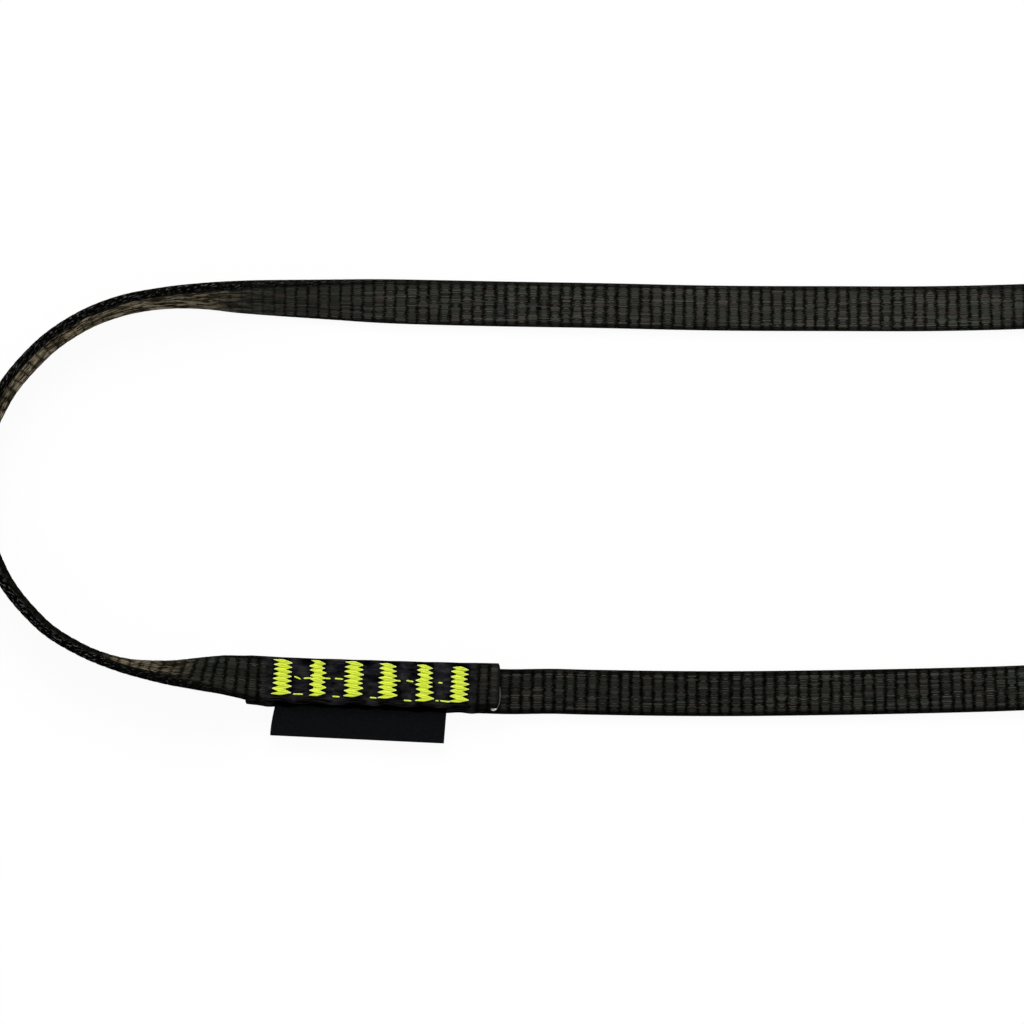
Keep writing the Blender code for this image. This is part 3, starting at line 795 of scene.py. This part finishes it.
label = new_piece("folded_label", label_mesh(), label_surface())
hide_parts("label_sewn_edge", "label_flap")
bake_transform(label)


# Each bar tack is sewn with thick bonded polyester thread in bright lime. A few stitches along it come
# first, and a dense zigzag of doubled thread is sewn over them. Every leg dives into the webbing at a needle
# hole, so that the tack's sides are toothed. The last leg runs out to the left and on to the next tack.
THREAD_WIDTH = 0.00066
THREAD_HEIGHT = 0.00046
# The upper layer's face, where the tacks press it in.
UPPER_TOP = UPPER_BASE + WEBBING_THICKNESS - TACK_DIP
# In millimetres: one turn of the ply, and how far apart the runs of two threads begin in its pattern.
PLY_TURN = 2.1
RUN_STEP = 40.0
PLY_HEIGHT = 0.00006
DEEP_LIME = (0.46, 0.60, 0.010)
BRIGHT_LIME = (0.79, 0.93, 0.052)
# A paler lime for the painted highlight near the needle holes.
TIP_HIGHLIGHT_LIME = (0.88, 0.96, 0.46)
# Needle holes of each tack, in millimetres along and across the seam: left ones, then right ones.
HOLES = (
    (((-36.65, 7.45), (-36.45, 5.69), (-36.26, 4.06), (-36.44, 2.28), (-36.63, 0.63), (-36.69, -1.01),
      (-36.86, -2.91), (-37.54, -4.96)),
     ((-29.28, 6.41), (-29.47, 4.79), (-29.53, 3.14), (-29.59, 1.55), (-29.65, -0.09), (-29.32, -1.98),
      (-29.43, -4.30))),
    (((-22.76, 7.63), (-23.69, 5.58), (-23.38, 4.12), (-23.18, 2.19), (-23.38, 1.04), (-23.43, -0.98),
      (-23.34, -3.12), (-23.59, -4.98)),
     ((-17.67, 6.53), (-17.86, 5.00), (-17.16, 3.31), (-17.21, 1.34), (-17.53, -0.11), (-16.95, -1.93),
      (-17.25, -3.89))),
    (((-10.64, 7.57), (-10.82, 5.79), (-11.01, 4.19), (-11.19, 2.42), (-11.00, 0.73), (-11.06, -0.73),
      (-10.98, -2.75), (-11.41, -4.69)),
     ((-3.91, 6.63), (-3.84, 4.99), (-3.52, 3.16), (-3.96, 1.65), (-3.90, 0.11), (-3.63, -1.65),
      (-3.87, -3.73))),
    (((1.63, 7.43), (1.57, 5.79), (1.88, 4.28), (1.33, 2.37), (1.27, 0.60), (1.33, -0.92),
      (1.16, -2.82), (0.95, -4.84)),
     ((7.85, 6.54), (7.92, 4.90), (8.24, 3.15), (8.43, 1.52), (8.49, 0.00), (8.32, -1.90),
      (8.77, -3.70))),
    (((14.89, 7.46), (15.08, 5.70), (15.27, 4.19), (14.60, 2.02), (14.41, 0.49), (14.85, -1.13),
      (14.69, -3.28), (14.39, -5.32)),
     ((20.73, 6.48), (20.93, 4.80), (21.00, 2.91), (20.82, 1.33), (21.00, -0.12), (21.59, -2.20),
      (21.93, -4.38))),
    (((27.90, 7.15), (27.21, 5.68), (27.16, 3.79), (27.35, 2.03), (27.17, 0.25), (27.11, -1.27),
      (27.06, -3.16), (26.56, -5.12)),
     ((33.74, 6.45), (33.81, 4.81), (33.37, 3.08), (34.33, 1.30), (34.27, -0.47), (33.80, -2.39),
      (34.43, -4.38))),
)


class Threads:
    """Gathers the flattened tubes of many threads into one mesh, each with its own run of the ply pattern."""

    def __init__(self):
        self.points, self.faces, self.uvs, self.ways = [], [], [], []

    def add(self, spots, width=THREAD_WIDTH, height=THREAD_HEIGHT, sizes=None, sides=8):
        spots = np.asarray(spots, float)
        sizes = np.ones(len(spots)) if sizes is None else np.asarray(sizes)
        way = np.gradient(spots, axis=0)
        way /= np.linalg.norm(way, axis=1, keepdims=True)
        aside = np.cross((0.0, 0.0, 1.0), way)
        aside /= np.linalg.norm(aside, axis=1, keepdims=True)
        up = np.cross(way, aside)
        turn = (np.arange(sides) * 2 * math.pi / sides)[:, None]
        around = aside[:, None] * np.cos(turn) * width / 2 + up[:, None] * np.sin(turn) * height / 2
        first = sum(len(block) for block in self.points)
        self.points.append((spots[:, None] + around * sizes[:, None, None]).reshape(-1, 3))
        run = np.concatenate([[0.0], np.cumsum(np.linalg.norm(np.diff(spots, axis=0), axis=1))]) * 1000
        run += RUN_STEP * len(self.points)
        faces, rows, columns = tube_faces(len(spots), sides)
        self.faces += [[first + corner for corner in face] for face in faces]
        self.uvs += [(run[row], column / sides) for row, column in zip(rows, columns)]
        self.uvs += [(run[0], 0.5)] * sides + [(run[-1], 0.5)] * sides
        self.ways += [(row / (len(spots) - 1), 0.0) for row in rows]
        self.ways += [(0.0, 0.0)] * sides + [(1.0, 0.0)] * sides

    def mesh(self, name):
        made = bpy.data.meshes.new(name)
        made.from_pydata(from_seam(np.concatenate(self.points)), [], self.faces)
        for layer, values in (("ply", self.uvs), ("way", self.ways)):
            made.uv_layers.new(name=layer).data.foreach_set("uv", np.array(values, np.float32).ravel())
        made.shade_smooth()
        return made


LEG_STEPS = 20
LEG_SIZES = 1.16 - 1.00 * np.abs(np.linspace(-1.0, 1.0, LEG_STEPS)) ** 1.2
HOLE_REACH = 0.00026
# A leg starts below the webbing's face, rises out of its hole, and crowns over the first stitches.
LEG_SINK = 0.00016
LEG_RISE = 0.00036
LEG_CROWN = 0.00034
CROWN_SHARE = 0.27
LEG_FALL = 0.00008
# Half the way between the two strands of a leg, and how much the strands differ.
STRAND_ASIDE = 0.00031
STRAND_SWAY = 0.00006
STRAND_LIFT = 0.00002
# The legs that go back lie under those that come out.
BACK_LEG = -0.00008
OUT_LEG = 0.00010
FIRST_STITCHES = (-0.0011, 0.0, 0.0011)
FIRST_SINK = 0.0001
FIRST_RISE = 0.0003


def leg_spots(start, end, aside, order, sway):
    """One strand of a leg from hole to hole: out of the webbing, over the first stitches and back in."""
    share = np.linspace(0.0, 1.0, LEG_STEPS)[:, None]
    start, end = np.array(start) / 1000, np.array(end) / 1000
    way = (end - start) / np.linalg.norm(end - start)
    start, end = start - way * HOLE_REACH, end + way * HOLE_REACH
    apart = np.array([-way[1], way[0]]) * aside * (1 - (2 * share - 1) ** 2) ** 2.4
    plan = start + (end - start) * share + apart + np.array([0.0, 1.0]) * sway * np.sin(math.pi * share)
    over = 1 - (2 * share - 1) ** 8
    crown = np.exp(-(((share - 0.5) / CROWN_SHARE) ** 2))
    height = UPPER_TOP - LEG_SINK + LEG_RISE * over + (LEG_CROWN + order) * crown + LEG_FALL * (0.5 - share)
    return np.column_stack([plan, height])


def first_stitches(threads, left, right):
    """The stitches along the tack, which the zigzag covers."""
    top, foot = (left[0][1] + right[0][1]) / 2000, (left[-2][1] + right[-1][1]) / 2000
    middle = np.mean([x for x, _ in (*left[:-1], *right)]) / 1000
    for offset in FIRST_STITCHES:
        share = np.linspace(0.0, 1.0, 12)
        y = top + (foot - top) * share
        z = UPPER_TOP - FIRST_SINK + FIRST_RISE * (1 - (2 * share - 1) ** 6)
        threads.add(np.column_stack([0 * y + middle + offset, y, z]))


def needle_tack(number, left, right):
    sewing = np.random.default_rng(40 + number)
    threads = Threads()
    first_stitches(threads, left, right)
    for n, hole in enumerate(right):
        for start, end, order in ((hole, left[n + 1], BACK_LEG), (left[n], hole, OUT_LEG)):
            for side in (-STRAND_ASIDE, STRAND_ASIDE):
                sway = sewing.normal(0.0, STRAND_SWAY)
                spread = side * sewing.uniform(0.85, 1.1)
                lifted = order + sewing.normal(0.0, STRAND_LIFT)
                threads.add(leg_spots(start, end, spread, lifted, sway), sizes=LEG_SIZES)
    return threads.mesh(f"needle_thread_{number}")


def thread_surface():
    thread = Surface("lime_thread", Specular_IOR_Level=0.35, Sheen_Weight=0.08, Sheen_Roughness=0.4)
    run, round_it = thread.map("ply")
    from_start, _ = thread.map("way")
    # Three plies twist round each other, and fine filaments lie along each ply.
    twist = (run * (1 / PLY_TURN) + round_it) * 3.0
    ply = twist.arch()
    strand = thread.chance((run * (1 / RUN_STEP)).whole(), 5.0)
    filament = thread.cloud(run * 2.0, (round_it + twist.part()) * 9.0, 3.0)
    # Each ply is painted lighter on its crown and darker where it twists under the next, with a random tone
    # for each thread and along the filaments.
    dyed_and_ply_shaded = thread.colour(ply * 0.55 + strand * 0.25 + filament * 0.4, DEEP_LIME, BRIGHT_LIME)
    # Near its needle holes, where it bends down into the webbing, the thread carries a paler painted
    # highlight.
    tip_highlight = abs(from_start * 2.0 - 1.0).ramp(0.50, 0.92)
    thread.set("Base Color", thread.colour(tip_highlight * 0.8, dyed_and_ply_shaded, TIP_HIGHLIGHT_LIME))
    thread.set("Roughness", filament * 0.25 + 0.38)
    thread.raise_by(ply * 0.8 + filament * 0.3, PLY_HEIGHT, 0.7)
    return thread.material


lime_thread = thread_surface()


def sewn(name, mesh, surface, slot, *nodes):
    made = new_piece(name, mesh, surface)
    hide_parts(*nodes)
    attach(made, "sling_loop")


for number, (left, right) in enumerate(HOLES, 1):
    mesh = needle_tack(number, left, right)
    sewn(f"needle_thread_{number}", mesh, lime_thread, "tack_thread", f"needle_tack_{number}")


# On the back of the under layer each tack shows its bobbin thread: the same lime thread in the same zigzag,
# drawn flatter into the webbing.
UNDER_FACE = SEAM_BASE + TACK_DIP
BOBBIN_SHARE = 0.8
BOBBIN_ASIDE = 0.00029
BOBBIN_SWAY = 0.00005
BOBBIN_BACK_LEG = 0.00006


def bobbin_tack(number, left, right):
    sewing = np.random.default_rng(80 + number)
    threads = Threads()
    for n, hole in enumerate(right):
        for start, end, order in ((hole, left[n + 1], BOBBIN_BACK_LEG), (left[n], hole, 0.0)):
            for side in (-BOBBIN_ASIDE, BOBBIN_ASIDE):
                spots = leg_spots(start, end, side, order, sewing.normal(0.0, BOBBIN_SWAY))
                spots[:, 1] -= SEAM_LIP
                spots[:, 2] = UNDER_FACE - BOBBIN_SHARE * (spots[:, 2] - UPPER_TOP)
                threads.add(spots, height=BOBBIN_SHARE * THREAD_HEIGHT, sizes=LEG_SIZES)
    return threads.mesh(f"bobbin_thread_{number}")


for number, (left, right) in enumerate(HOLES, 1):
    mesh = bobbin_tack(number, left, right)
    sewn(f"bobbin_thread_{number}", mesh, lime_thread, "tack_thread", f"bobbin_tack_{number}")


# Between the tacks the same thread travels on in long shallow stitches, one row along the middle and one
# near the outer edge. Most show as a short dash, and some run on into the next tack's first or last leg.
# By the tack before them, each dash's start and end in millimetres along and across the seam.
MIDDLE_DASHES = {
    1: (((-28.75, 1.58), (-26.50, 0.72)), ((-25.45, 1.04), (-22.60, 1.25))),
    2: (((-17.60, 1.36), (-15.80, 1.28)), ((-14.20, 1.41), (-11.25, 1.28))),
    4: (((7.93, 1.55), (9.35, 1.46)), ((11.45, 1.71), (14.00, 1.41))),
    5: (((23.00, 1.42), (24.40, 1.36)),),
}
EDGE_DASHES = {
    1: (((-29.00, -4.74), (-25.40, -4.65)),),
    2: (((-14.85, -4.98), (-12.25, -5.09)),),
    3: (((-1.45, -4.88), (1.00, -4.97)),),
    4: (((10.80, -5.40), (13.55, -5.49)),),
    5: (((22.30, -5.06), (23.25, -5.09)), ((23.80, -5.03), (27.30, -5.30))),
}
BETWEEN_TACKS_TOP = UPPER_BASE + WEBBING_THICKNESS
DASH_SINK = 0.00022
DASH_RISE = 0.00034


def dashes_mesh(name, dashes):
    threads = Threads()
    for start, end in dashes:
        share = np.linspace(0.0, 1.0, 14)[:, None]
        plan = (np.array(start) + (np.array(end) - np.array(start)) * share) / 1000
        rise = 1 - (2 * share - 1) ** 4
        size = 0.45 + 0.4 * rise[:, 0] ** 0.5
        threads.add(np.column_stack([plan, BETWEEN_TACKS_TOP - DASH_SINK + DASH_RISE * rise]), sizes=size)
    return threads.mesh(name)


for row, dashes in (("middle", MIDDLE_DASHES), ("edge", EDGE_DASHES)):
    for number, places in dashes.items():
        name = f"{row}_travel_thread_{number}"
        sewn(name, dashes_mesh(name, places), lime_thread, "tack_thread", f"{row}_travel_stitch_{number}")


# A loose end of clear nylon thread comes out beside the upper layer's cut end, bends down across it and
# ends in a small melted bead on the lip.
END_THREAD = 0.00036
# Places along and across the seam and up, in millimetres, with the thread's size as a share.
END_SPOTS = (
    (44.85, 1.30, 4.35, 0.6), (45.05, 0.40, 4.55, 0.8), (45.20, -1.20, 4.60, 1.0),
    (45.26, -2.90, 4.50, 1.0), (45.20, -4.20, 4.40, 1.0), (45.00, -5.40, 4.30, 1.0),
    (44.65, -6.25, 4.25, 1.0), (44.25, -6.80, 4.25, 1.3), (43.90, -7.10, 4.28, 2.4),
    (43.45, -7.28, 4.32, 3.5), (42.85, -7.34, 4.30, 3.5), (42.25, -7.34, 4.24, 1.2),
)
NYLON_HEIGHT = 0.00003
CLEAR_NYLON = (0.08, 0.08, 0.08)
CLOUDY_NYLON = (0.26, 0.26, 0.26)
MELTED_WHITE = (0.90, 0.90, 0.88)


def clear_thread_surface():
    nylon = Surface("clear_thread", Specular_IOR_Level=0.5)
    run, round_it = nylon.map("ply")
    from_start, _ = nylon.map("way")
    cloudy = nylon.cloud(run * 1.3, round_it * 2.0, 3.0)
    clear = nylon.colour(cloudy, CLEAR_NYLON, CLOUDY_NYLON)
    nylon.set("Base Color", nylon.colour(from_start.ramp(0.62, 0.74), clear, MELTED_WHITE))
    nylon.set("Roughness", cloudy * 0.3 + 0.16)
    nylon.raise_by(cloudy, NYLON_HEIGHT, 0.4)
    return nylon.material


def end_thread_spots(steps=56, rounds=6):
    """The thread's places and sizes, with a smooth run between the given ones."""
    given = np.array(END_SPOTS)
    share = np.linspace(0.0, len(given) - 1.0, steps)
    fine = np.stack([np.interp(share, np.arange(len(given)), column) for column in given.T], axis=1)
    for _ in range(rounds):
        fine[1:-1] = (fine[:-2] + 2 * fine[1:-1] + fine[2:]) / 4
    return fine


fine = end_thread_spots()
clear = Threads()
clear.add(fine[:, :3] / 1000, END_THREAD, END_THREAD, fine[:, 3], 12)
sewn("clear_thread_end", clear.mesh("clear_thread_end"), clear_thread_surface(), "clear_thread", "thread_end")


# The ground is plain white and keeps a faint shadow. To the camera most of it is an even white of its own,
# so that it is lit alike all over.
GROUND_SIZE = 6.0
GROUND_LEVEL = -0.0001
GROUND_WHITE = (0.86, 0.86, 0.86)
EVEN_STRENGTH = 1.02
EVEN_SHARE = 0.92


def ground_surface():
    floor = Surface("white_ground", Roughness=0.9, Base_Color=GROUND_WHITE, Specular_IOR_Level=0.0)
    even = floor.node("Emission", ("Strength", EVEN_STRENGTH))
    rays = floor.node("LightPath").outputs
    seen = floor.out(rays["Is Camera Ray"]).most(floor.out(rays["Is Glossy Ray"]))
    seen = seen.most(floor.out(rays["Is Transmission Ray"]))
    terms = (seen * EVEN_SHARE, floor.out(floor.shader.outputs[0]), floor.out(even.outputs[0]))
    both = floor.node("MixShader", *enumerate(terms))
    feed(floor.tree, floor.tree.nodes["Material Output"].inputs["Surface"], floor.out(both.outputs[0]))
    return floor.material


half = GROUND_SIZE / 2
ground_mesh = bpy.data.meshes.new("ground")
corners = [(x * half, y * half, GROUND_LEVEL) for x, y in ((-1, -1), (1, -1), (1, 1), (-1, 1))]
ground_mesh.from_pydata(corners, [], [(0, 1, 2, 3)])
new_piece("ground", ground_mesh, ground_surface())


# The room is white at its sides and dim overhead, as over a product table, and lighter on the far side. One
# soft lamp shines from that side.
SIDE_LIGHT = 1.22
OVERHEAD_LIGHT = 0.12
FAR_SIDE_GAIN = 0.45
SOFTBOX_SIZE = (1.4, 0.8)
SOFTBOX_WATTS = 20.0
SOFTBOX_WHITE = (1.0, 0.985, 0.96)
SOFTBOX_PLACE = (-0.30, 1.5, 1.1)
SOFTBOX_TURN = (math.radians(-53.7), 0.0, math.radians(9))

sky = bpy.data.worlds.new("white_room")
sky.use_nodes = True
tree = sky.node_tree
around = tree.nodes.new("ShaderNodeTexCoord")
split = tree.nodes.new("ShaderNodeSeparateXYZ")
tree.links.new(around.outputs["Generated"], split.inputs[0])
farther, higher = Amount(tree, split.outputs[1]), Amount(tree, split.outputs[2])
strength = SIDE_LIGHT - higher.ramp(0.5, 0.92) * (SIDE_LIGHT - OVERHEAD_LIGHT)
feed(tree, tree.nodes["Background"].inputs["Strength"], strength * (farther * FAR_SIDE_GAIN + 1.0))
feed(tree, tree.nodes["Background"].inputs["Color"], (1.0, 1.0, 1.0))
scene.world = sky

softbox = bpy.data.lights.new("softbox", "AREA")
softbox.shape = "RECTANGLE"
softbox.size, softbox.size_y = SOFTBOX_SIZE
softbox.energy = SOFTBOX_WATTS
softbox.color = SOFTBOX_WHITE
lamp = bpy.data.objects.new("softbox", softbox)
lamp.location = SOFTBOX_PLACE
lamp.rotation_euler = SOFTBOX_TURN
scene.collection.objects.link(lamp)

scene.view_settings.view_transform = "Standard"
